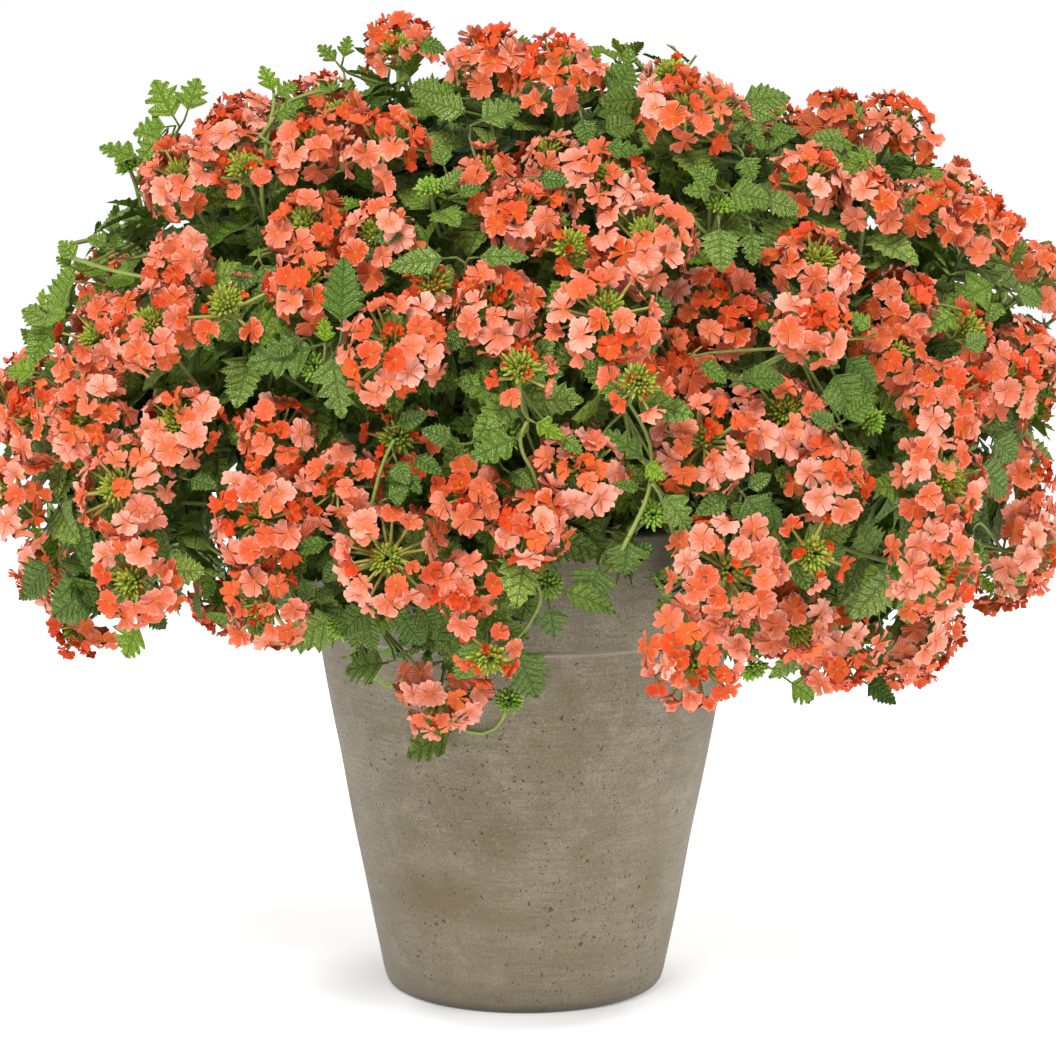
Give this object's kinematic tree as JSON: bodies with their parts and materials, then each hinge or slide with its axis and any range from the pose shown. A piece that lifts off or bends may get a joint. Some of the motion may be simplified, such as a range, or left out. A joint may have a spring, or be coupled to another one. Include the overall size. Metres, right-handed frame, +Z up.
{
  "type": "potted verbena plant",
  "caption": "Mounded garden verbena in full coral flower, with toothed green leaves, growing in a tall tapered stone-coloured pot.",
  "frame": {"origin": "centre of the pot's flat underside, on the ground that the pot stands on", "axes": "+Z up, +X to the right seen from the front, and the fullest side of the plant looks along -Y"},
  "size_m": [0.6668, 0.5705, 0.5804],
  "materials": {
    "pot": "matt grey-beige fibre-clay with small dark pits and ochre stains",
    "soil": "loose dark brown potting compost",
    "foliage": "satin green, hairy and wrinkled leaves and stems",
    "petals": "soft satin coral petals, lighter at the edge, with a pale yellow eye"
  },
  "bodies": {
    "root": {"pot": "pot", "soil": "soil", "leafy_stem_01": "foliage", "leafy_stem_02": "foliage", "leafy_stem_03": "foliage", "leafy_stem_04": "foliage", "leafy_stem_05": "foliage", "leafy_stem_06": "foliage", "leafy_stem_07": "foliage", "leafy_stem_08": "foliage", "leafy_stem_09": "foliage", "leafy_stem_10": "foliage", "flower_bunch_01": "petals", "flower_bunch_02": "petals", "flower_bunch_03": "petals", "flower_bunch_04": "petals", "flower_bunch_05": "petals", "flower_bunch_06": "petals", "flower_bunch_07": "petals", "flower_bunch_08": "petals", "flower_bunch_09": "petals", "flower_bunch_10": "petals", "flower_bunch_11": "petals", "flower_bunch_12": "petals", "flower_bunch_13": "petals", "flower_bunch_14": "petals", "flower_bunch_15": "petals", "flower_bunch_16": "petals", "flower_bunch_17": "petals", "flower_bunch_18": "petals", "flower_bunch_19": "petals", "flower_bunch_20": "petals", "flower_bunch_21": "petals", "flower_bunch_22": "petals", "flower_bunch_23": "petals", "flower_bunch_24": "petals", "flower_bunch_25": "petals", "flower_bunch_26": "petals", "flower_bunch_27": "petals", "flower_bunch_28": "petals", "flower_bunch_29": "petals", "flower_bunch_30": "petals", "flower_bunch_31": "petals", "flower_bunch_32": "petals", "flower_bunch_33": "petals", "flower_bunch_34": "petals", "flower_bunch_35": "petals", "flower_bunch_36": "petals", "flower_bunch_37": "petals", "flower_bunch_38": "petals", "flower_bunch_39": "petals", "flower_bunch_40": "petals", "flower_bunch_41": "petals", "flower_bunch_42": "petals", "flower_bunch_43": "petals", "flower_bunch_44": "petals", "flower_bunch_45": "petals", "flower_bunch_46": "petals", "flower_bunch_47": "petals", "flower_bunch_48": "petals"}
  },
  "joints": []
}
